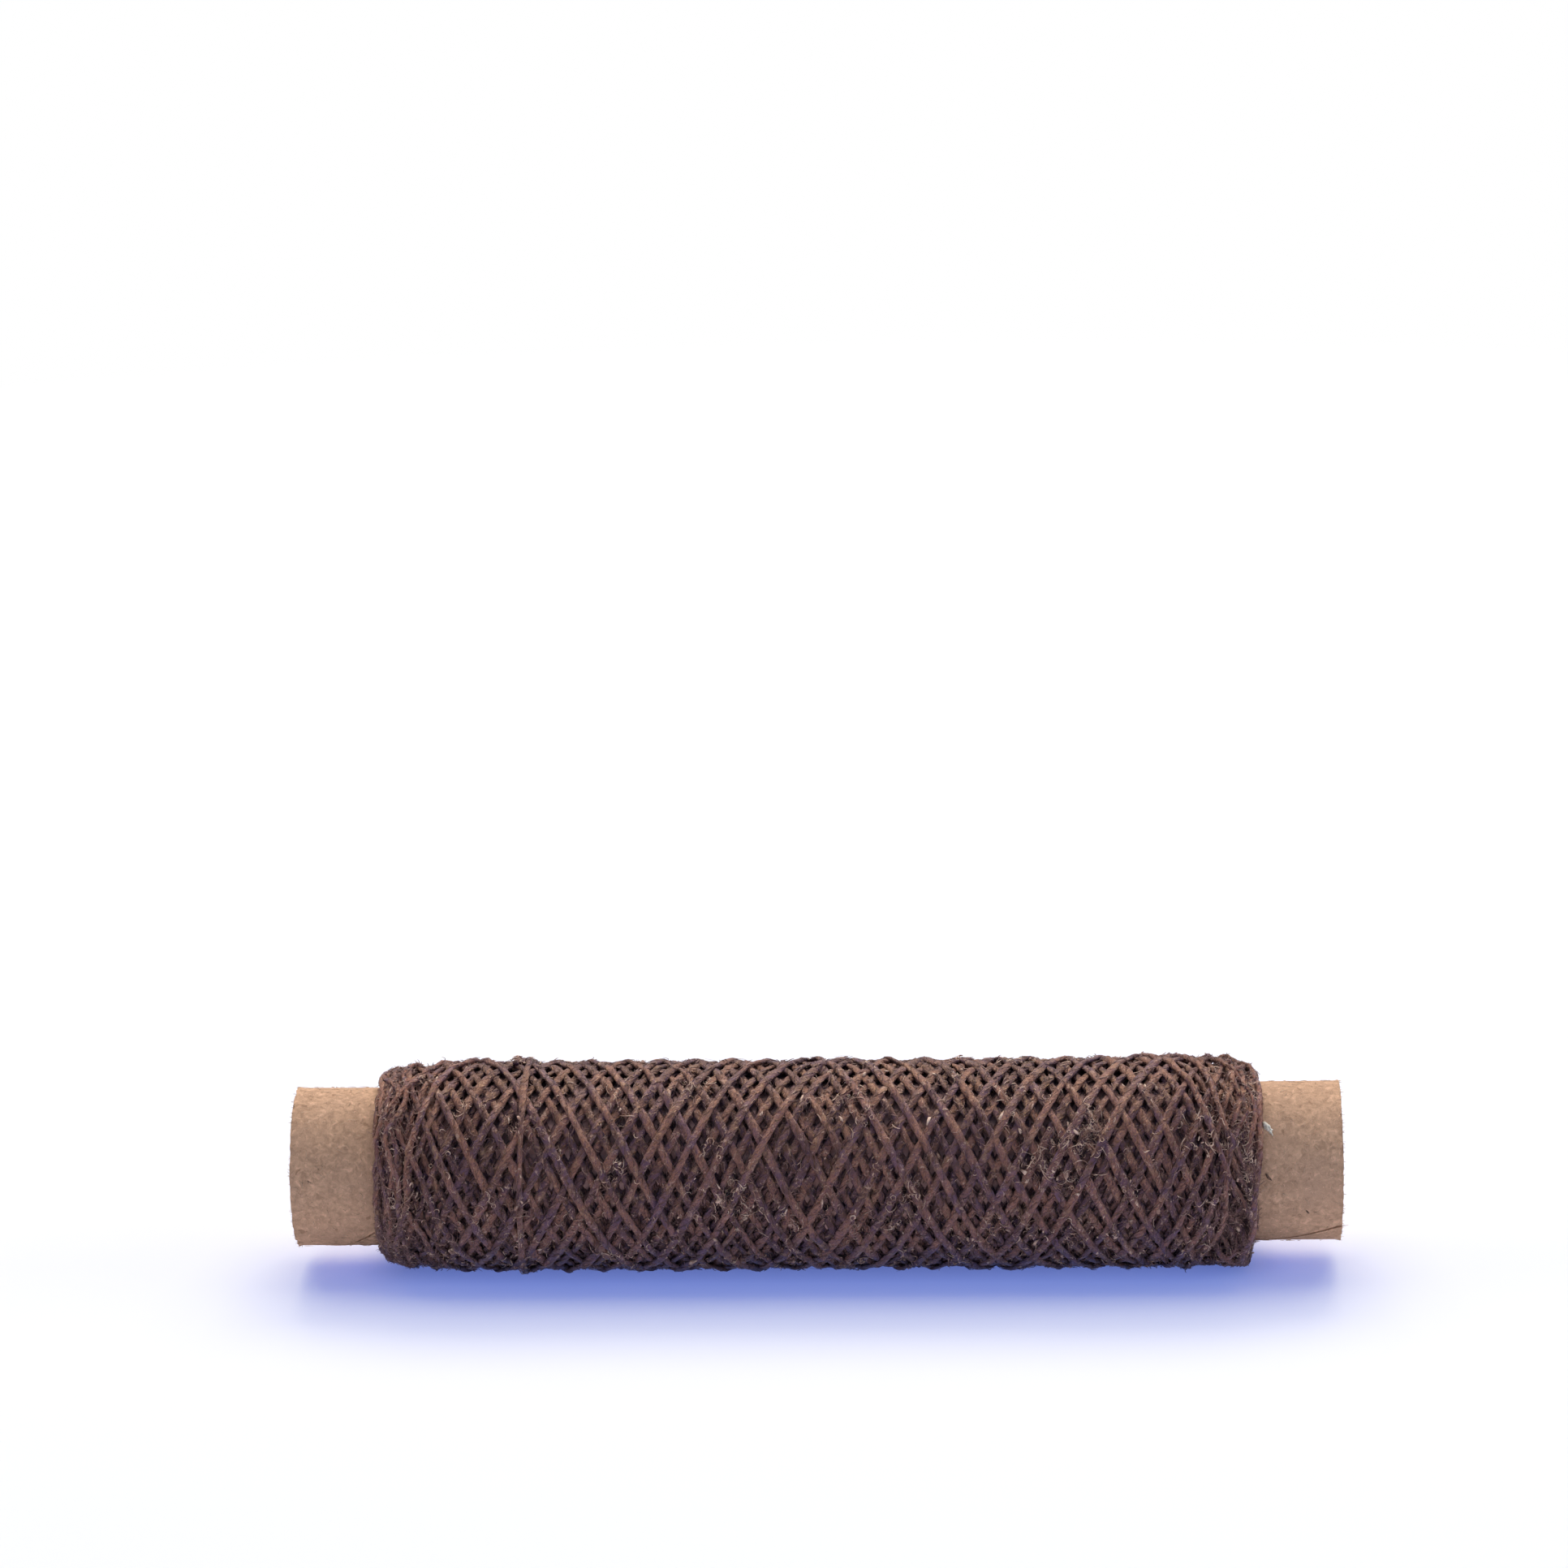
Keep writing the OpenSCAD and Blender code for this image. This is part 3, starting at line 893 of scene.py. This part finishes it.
# Hues of the thread, and painted light and shade on it, as shares of its lighter or darker colour
RUSTY = (1.36, 0.97, 0.68)
MAUVE = (0.66, 0.71, 1.0)
# Painted highlight: bright golden streaks along some strands
PAINTED_HIGHLIGHT = (2.4, 1.72, 0.92)
# Painted warm light, laid on the upper side near the package's ends
PAINTED_WARM_LIGHT = (2.1, 1.16, 0.66)
# Painted shade in the creases between the plies
PAINTED_CREASE_SHADE = (0.6, 0.6, 0.65)

# The newest stretch of the thread, which lies on top, and the tones that lead up to it and that its
# hoop has. The older stretches under it get painted shade, darker and bluer, and the newest painted
# light.
PAINTED_LIGHT_MM = 5200
PAINTED_SHADE_UNDER = (0.505, 0.53, 0.695)
PAINTED_LIGHT_ON_TOP = (1.09, 1.08, 1.20)
HOOP_MM = 64
HOOP_TONE = (0.66, 0.68, 0.74)


def twist(tree, u, v, where):
    """Turns of the plies round the thread, and the creases between them."""
    turn = plus(tree, times(tree, v, PLIES), times(tree, u, PLIES / TWIST_PITCH))
    turn = plus(tree, turn, times(tree, noise(tree, where, 1.7, 2.0), 0.9))
    off_middle = distance(tree, maths(tree, "FRACT", turn, 0))
    return turn, ranged(tree, off_middle, 0.36, 0.5)


def hued(tree, where, patch, fibre, dark, light):
    """Colour of the thread's fibres, with rusty and mauve patches, and painted warm light on the
    upper side near the ends.
    """
    hue = noise(tree, where, 1.3, 2.0, 0.6, 0.6)
    base = mixed(tree, ranged(tree, fibre, 0.38, 0.67), colour(*dark), colour(*light))
    rusty = mixed(tree, ranged(tree, patch, 0.5, 0.66, 0, 0.55), base, tinted(light, RUSTY))
    mauve = mixed(tree, ranged(tree, hue, 0.45, 0.62, 0, 0.85), rusty, tinted(light, MAUVE))
    # Painted warm light: warmer and lighter on the upper side near the ends, where the lamps light
    # it
    place = add(tree, "SeparateXYZ", {0: where})
    upper_end = times(tree, ranged(tree, distance(tree, place.outputs[0], 0), 27, 36, 0, 0.72),
                      ranged(tree, place.outputs[2], 1, 7))
    painted_warm_light_share = times(tree, upper_end, ranged(tree, hue, 0.6, 0.4))
    return mixed(tree, painted_warm_light_share, mauve, tinted(light, PAINTED_WARM_LIGHT))


def toned(tree, base, where, u, turn, newest):
    """Colour made darker and lighter by place and by strand, and along the thread's length, which
    paints shade on the older stretches that lie under the newest and light on the newest; its hoop
    is darker.
    """
    broad = noise(tree, where, 0.16, 2.0, 0.5)
    strand = noise(tree, stretched(tree, u, 0.11, turn, 0.05), 1.0, 2.0, 0.6)
    for share, low, high in [
            (ranged(tree, broad, 0.35, 0.65), (0.86, 0.86, 0.9), (1.12, 1.1, 1.06)),
            (ranged(tree, strand, 0.36, 0.64), (0.72, 0.74, 0.78), (1.28, 1.24, 1.16)),
            # Painted shade and light: the older stretches, which lie under the newest, darker and
            # bluer, the newest lighter
            (ranged(tree, u, newest - PAINTED_LIGHT_MM, newest), PAINTED_SHADE_UNDER, PAINTED_LIGHT_ON_TOP),
            (ranged(tree, u, newest - HOOP_MM - 5, newest - HOOP_MM), (1, 1, 1), HOOP_TONE)]:
        tone = mixed(tree, share, colour(*low), colour(*high))
        base = mixed(tree, 1.0, base, tone, "MULTIPLY")
    return base


def thread_material(name, dark, light, wax_share, highlight_share, newest):
    """Flat waxed thread: twisted plies with streaks of fibre, smeared wax and pale flecks.

    The newest is the length at which the thread ends. The last stretch before it, which lies on top,
    is the lightest, with painted light; the older stretches under it have painted shade.
    """
    made, tree, shader = new_material(name)
    uv = add(tree, "UVMap", uv_map="Thread").outputs[0]
    split = add(tree, "SeparateXYZ", {0: uv})
    u, v = split.outputs[0], split.outputs[1]
    where = place_mm(tree)
    turn, crease = twist(tree, u, v, where)
    patch = noise(tree, where, 0.9, 3.0, 0.6, 0.4)
    fibre = noise(tree, stretched(tree, u, 1.1, turn, 1.3), 1.7, 4.0, 0.7, 0.4)
    fine = noise(tree, stretched(tree, u, 2.6, turn, 3.2), 1.5, 3.0, 0.7, 0.3)
    highlight_streaks = noise(tree, stretched(tree, u, 0.16, turn, 0.1), 1.3, 2.0, 0.5)
    grit = noise(tree, where, 4.0, 3.0, 0.7, 0.5)
    fleck = noise(tree, where, 1.7, 3.0, 0.75, 1.0)
    smear = noise(tree, where, 0.7, 3.0, 0.65, 0.6)

    base = hued(tree, where, patch, fibre, dark, light)
    streaks = mixed(tree, fine, colour(0.42, 0.40, 0.41), colour(1.65, 1.62, 1.6))
    lined = mixed(tree, 0.75, base, streaks, "MULTIPLY")
    # Painted shade: darker in the creases between the plies
    crease_shaded = mixed(tree, times(tree, crease, 0.5), lined, tinted(dark, PAINTED_CREASE_SHADE))
    aged = toned(tree, crease_shaded, where, u, turn, newest)
    # Painted highlight: golden streaks along some strands, more on the top layers than on the deep
    # ones
    painted_highlight = times(tree, ranged(tree, highlight_streaks, 0.48, 0.57, 0, highlight_share),
                   ranged(tree, fine, 0.35, 0.6))
    highlighted = mixed(tree, painted_highlight, aged, tinted(light, PAINTED_HIGHLIGHT))
    film = times(tree, ranged(tree, smear, 0.54, 0.64, 0, 0.75), ranged(tree, fibre, 0.42, 0.62))
    filmed = mixed(tree, film, highlighted, colour(0.34, 0.215, 0.155))
    spots = times(tree, ranged(tree, fleck, 0.57, 0.63, 0, wax_share),
                  ranged(tree, grit, 0.42, 0.54))
    relief = plus(tree, times(tree, fibre, 0.8), times(tree, fine, 0.5))
    relief = plus(tree, relief, times(tree, grit, 0.5))
    relief = maths(tree, "SUBTRACT", relief, times(tree, crease, 0.6))
    feed(tree, shader, {
        "Base Color": mixed(tree, spots, filmed, colour(0.60, 0.42, 0.37)),
        "Roughness": ranged(tree, patch, 0.3, 0.7, 0.34, 0.52),
        "Specular IOR Level": 0.9, "IOR": 1.6, "Specular Tint": colour(1.0, 0.48, 0.19),
        "Sheen Weight": 0.14, "Sheen Roughness": 0.4, "Sheen Tint": colour(1.0, 0.7, 0.52),
        "Normal": bump(tree, relief, 1.0, 0.00016)})
    return made


def wax_material():
    """Pale crumbled wax with trapped fibre."""
    made, tree, shader = new_material("pale_wax")
    where = place_mm(tree)
    tone = ranged(tree, noise(tree, where, 1.3, 2.0), 0.38, 0.62)
    feed(tree, shader, {
        "Base Color": mixed(tree, tone, colour(0.35, 0.19, 0.15), colour(0.80, 0.57, 0.47)),
        "Roughness": 0.5, "Subsurface Weight": 0.15,
        "Subsurface Radius": (0.0003, 0.0002, 0.0001),
        "Normal": bump(tree, noise(tree, where, 9.0, 3.0), 0.6, 0.00003)})
    return made


def plain_material(name, low, high, rough, scale):
    """Small matte bits, with a colour that wanders between two."""
    made, tree, shader = new_material(name)
    tone = ranged(tree, noise(tree, place_mm(tree), scale, 2.0), 0.36, 0.64)
    feed(tree, shader, {"Base Color": mixed(tree, tone, colour(*low), colour(*high)),
                        "Roughness": rough})
    return made


def fibre_material():
    """Loose fibres of the thread, brown to straw-coloured."""
    made, tree, shader = new_material("loose_fibre")
    where = place_mm(tree)
    tone = ranged(tree, noise(tree, where, 0.8, 3.0, 0.7), 0.36, 0.64)
    feed(tree, shader, {
        "Base Color": mixed(tree, tone, colour(0.13, 0.066, 0.069), colour(0.38, 0.215, 0.19)),
        "Roughness": ranged(tree, noise(tree, where, 4.0), 0.3, 0.7, 0.4, 0.6)})
    return made


def kraft_material(name, tint, seed):
    """Kraft paper: mottled pulp with dark and pale fibres, chips and specks."""
    made, tree, shader = new_material(name)
    where = add(tree, "VectorMath", {0: place_mm(tree), 1: (seed, 2 * seed, -seed)},
                operation="ADD").outputs[0]
    broad = noise(tree, where, 0.22, 3.0, 0.6)
    pulp = noise(tree, where, 1.9, 3.0, 0.58, 0.7)
    grain = noise(tree, where, 7.0, 3.0, 0.6)
    pale_curl = noise(tree, where, 1.1, 2.0, 0.5, 2.2)
    dark_curl = noise(tree, where, 1.7, 2.0, 0.5, 2.6)
    chip = noise(tree, where, 1.9, 1.0, 0.5, 0.8)
    speck = noise(tree, where, 1.4, 1.0, 0.5, 0.5)

    base = mixed(tree, ranged(tree, pulp, 0.34, 0.66), tinted(tint, (0.74, 0.72, 0.71)),
                 tinted(tint, (1.28, 1.28, 1.30)))
    fibre = ranged(tree, distance(tree, pale_curl), 0.004, 0.014, 0.7, 0)
    for share, tone in [
            (ranged(tree, broad, 0.35, 0.65, 0, 0.6), (0.92, 0.92, 0.97)),
            (fibre, (1.45, 1.5, 1.65)),
            (ranged(tree, distance(tree, dark_curl), 0.002, 0.007, 0.42, 0), (0.5, 0.45, 0.42)),
            (ranged(tree, chip, 0.66, 0.72, 0, 0.45), (1.5, 1.5, 1.6)),
            (ranged(tree, speck, 0.71, 0.76, 0, 0.6), (0.5, 0.44, 0.4))]:
        base = mixed(tree, share, base, tinted(tint, tone))
    gritty = mixed(tree, grain, colour(0.7, 0.7, 0.7), colour(1.35, 1.35, 1.35))
    relief = plus(tree, times(tree, pulp, 0.8), times(tree, grain, 0.3))
    relief = plus(tree, relief, times(tree, fibre, 0.5))
    feed(tree, shader, {
        "Base Color": mixed(tree, 0.28, base, gritty, "MULTIPLY"), "Roughness": 0.88,
        "Specular IOR Level": 0.25, "Normal": bump(tree, relief, 0.8, 0.00007)})
    return made


# ---- stage

CAMERA_PLACE = (16.77, -439.6, 160.0)
CAMERA_YAW = 2.467
CAMERA_PITCH = -16.004
CAMERA_ROLL = -1.2
SENSOR = 36
# Focal length of the photo in pixels, as a share of its width
CAMERA_FOCUS = 6724 / 1932


def camera():
    """Camera at the photo's place."""
    data = bpy.data.cameras.new("camera")
    data.lens = SENSOR * CAMERA_FOCUS
    data.sensor_width = SENSOR
    data.clip_start = 0.01
    data.clip_end = 100
    made = placed("camera", data)
    turn = (Matrix.Rotation(math.radians(CAMERA_YAW), 4, "Z")
            @ Matrix.Rotation(math.radians(90 + CAMERA_PITCH), 4, "X")
            @ Matrix.Rotation(math.radians(CAMERA_ROLL), 4, "Z"))
    made.matrix_world = Matrix.Translation(Vector(CAMERA_PLACE) * MM) @ turn
    bpy.context.scene.camera = made


def area_lamp(name, azimuth, elevation, away, size, level, tint):
    """Soft lamp, in metres, that lights a white surface facing it to that level."""
    data = bpy.data.lights.new(name, "AREA")
    data.shape = "RECTANGLE"
    data.size, data.size_y = size
    data.energy = level * math.pi ** 2 * away ** 2
    data.color = tint
    made = placed(name, data)
    a, e = math.radians(azimuth), math.radians(elevation)
    way = Vector((math.sin(a) * math.cos(e), -math.cos(a) * math.cos(e), math.sin(e)))
    made.location = way * away
    made.rotation_euler = way.to_track_quat("Z", "Y").to_euler()


# What the camera sees of the floor: lit share, a glow that paints blue fill light into its shadow,
# and how far in mm and by how much the glow fades under the package, as a painted contact shadow
FLOOR_HALF = 3000
FLOOR_DIFFUSE = (0.688, 0.65, 0.44)
FLOOR_GLOW = (0.143, 0.203, 0.6)
CONTACT_REACH = (1.5, 5.0)
PAINTED_CONTACT_SHADE = 0.25
# Floor as the object sees it, and where in metres the camera's floor fades to white
FLOOR_BOUNCE = (0.88, 0.88, 0.98)
FLOOR_FADE = (0.16, 0.4)
# Colour and strength of the fill light from all round
FILL = (0.50, 0.71, 1.0)
FILL_LEVEL = 0.19


def painted_floor_glow(tree):
    """Glow of the floor as the camera sees it, which paints blue fill light into the shadow, a
    little weaker where the package touches it, as a painted contact shadow.
    """
    place = add(tree, "SeparateXYZ", {0: place_mm(tree)})
    closeness = ranged(tree, distance(tree, place.outputs[1], 0), *CONTACT_REACH, 1, 0)
    beside = ranged(tree, distance(tree, place.outputs[0], 0), PACKAGE_HALF - 2, PACKAGE_HALF + 2,
                    PAINTED_CONTACT_SHADE, 0)
    # Painted contact shadow: the glow is weaker along the package's foot
    strength = maths(tree, "SUBTRACT", 1, times(tree, closeness, beside))
    return add(tree, "Emission", {"Color": colour(*FLOOR_GLOW), "Strength": strength})


def floor(z):
    """Pale floor, which the camera sees as white with a blue shadow."""
    half = FLOOR_HALF
    made = new_mesh("floor", [(-half, -half, z), (half, -half, z), (half, half, z),
                              (-half, half, z)], [[0, 1, 2, 3]])
    material = bpy.data.materials.new("pale_floor")
    tree = empty_tree(material)
    ray = add(tree, "LightPath")
    seen = maths(tree, "MAXIMUM", ray.outputs["Is Camera Ray"], ray.outputs["Is Glossy Ray"])
    seen = maths(tree, "MAXIMUM", seen, ray.outputs["Is Transmission Ray"])
    plain = add(tree, "BsdfDiffuse", {"Color": colour(*FLOOR_BOUNCE)})
    lit = add(tree, "BsdfDiffuse", {"Color": colour(*FLOOR_DIFFUSE)})
    near = add(tree, "AddShader", {0: lit.outputs[0], 1: painted_floor_glow(tree).outputs[0]})
    white = add(tree, "Emission", {"Color": colour(1, 1, 1)})
    where = add(tree, "TexCoord").outputs["Object"]
    away = add(tree, "VectorMath", {0: where}, operation="LENGTH").outputs["Value"]
    far = ranged(tree, away, *FLOOR_FADE)
    shown = add(tree, "MixShader", {0: far, 1: near.outputs[0], 2: white.outputs[0]})
    both = add(tree, "MixShader", {0: seen, 1: plain.outputs[0], 2: shown.outputs[0]})
    add(tree, "OutputMaterial", {"Surface": both.outputs[0]})
    made.data.materials.append(material)
    made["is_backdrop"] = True


def world():
    """Bluish fill light, which the camera sees as white."""
    made = bpy.data.worlds.new("studio")
    tree = empty_tree(made)
    seen = add(tree, "LightPath").outputs["Is Camera Ray"]
    fill = add(tree, "Background", {"Color": colour(*FILL), "Strength": FILL_LEVEL})
    white = add(tree, "Background", {"Color": colour(1, 1, 1)})
    both = add(tree, "MixShader", {0: seen, 1: fill.outputs[0], 2: white.outputs[0]})
    add(tree, "OutputWorld", {"Surface": both.outputs[0]})
    bpy.context.scene.world = made


# ---- scene

camera()
kraft = kraft_material("kraft_paper", (0.567, 0.35, 0.237), 3.0)
kraft_inside = kraft_material("kraft_paper_inside", (0.44, 0.27, 0.18), 11.0)

pieces, surface, thread_length = package()
thread_top = thread_material("waxed_thread", (0.039, 0.026, 0.044), (0.125, 0.084, 0.137),
                             0.6, 0.9, thread_length)
# Lighter copy of the thread for the layers under the top ones: painted light in the holes between
# the top strands
deep_thread_painted_light = thread_material("waxed_thread_deep", (0.106, 0.060, 0.078), (0.226, 0.149, 0.188),
                              0.5, 0.2, thread_length)
# Light reddish colour of the deep sleeve, seen only at the bottom of the holes: painted light
painted_light_ground = plain_material("painted_light_ground", (0.40, 0.20, 0.18), (0.58, 0.34, 0.33), 0.6, 1.1)
pieces.append(("deep_windings", deep_sleeve()))
layer_materials = {"top_layers": thread_top, "deep_windings": painted_light_ground}
for layer, piece in pieces:
    top = layer == "top_layers"
    piece.data.materials.append(layer_materials.get(layer, deep_thread_painted_light))
    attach(piece, "root")
    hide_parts("outer_winding" if top else "buried_windings")

bit_materials = {
    "wax": wax_material(),
    "fibre": fibre_material(),
    "pulp": plain_material("pulp_fibre", (0.50, 0.34, 0.24), (0.66, 0.49, 0.37), 0.8, 1.0),
    "white_wax": plain_material("white_wax", (0.62, 0.56, 0.50), (0.80, 0.75, 0.69), 0.6, 4.0),
    "chip": plain_material("bark_chip", (0.10, 0.06, 0.045), (0.22, 0.13, 0.09), 0.8, 4.0),
}
for piece, material in package_bits(on_package(surface)):
    piece.data.materials.append(bit_materials[material])
    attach(piece, "root")
for piece, material in tube_bits():
    piece.data.materials.append(bit_materials[material])
    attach(piece, "root")

# Node, slot, material, rings, sides and roughness of each ply, from the outside in
PLY_LIST = [
    ("outer_ply", "kraft", kraft, 180, 241, 1.0),
    ("middle_ply", "kraft_inside", kraft_inside, 90, 121, 0.0),
    ("inner_ply", "kraft_inside", kraft_inside, 120, 161, 0.0),
]
inner_r = TUBE_R - PLY_T
for k, (node_name, slot, material, rings, sides, rough) in enumerate(PLY_LIST):
    piece = ply("paper_" + node_name, inner_r, SEAM_ANGLE + k * SEAM_STAGGER, SEED + 10 + k,
                rings, sides, rough)
    piece.data.materials.append(material)
    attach(piece, "root")
    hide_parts(node_name)
    inner_r = inner_r - GLUE_T - PLY_T

area_lamp("key", 178, 50, 1.6, (0.9, 0.6), 0.39, (1.0, 0.95, 0.80))
area_lamp("overhead", 178, 66, 1.6, (2.0, 2.0), 0.93, (1.0, 0.955, 0.845))
area_lamp("sky", 178, 74, 1.6, (4.2, 2.0), 0.5, (1.0, 0.955, 0.845))
area_lamp("front_fill", 66, 14, 0.4, (0.3, 0.3), 0.13, (0.38, 0.68, 1.0))
area_lamp("left_side", -90, 22, 1.6, (0.9, 0.6), 0.17, (1.0, 0.93, 0.8))
area_lamp("right_side", 90, 22, 1.6, (0.9, 0.6), 0.17, (1.0, 0.93, 0.8))
world()
bpy.context.scene.view_settings.view_transform = "Standard"
bpy.context.view_layer.update()
floor(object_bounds()[0].z / MM)
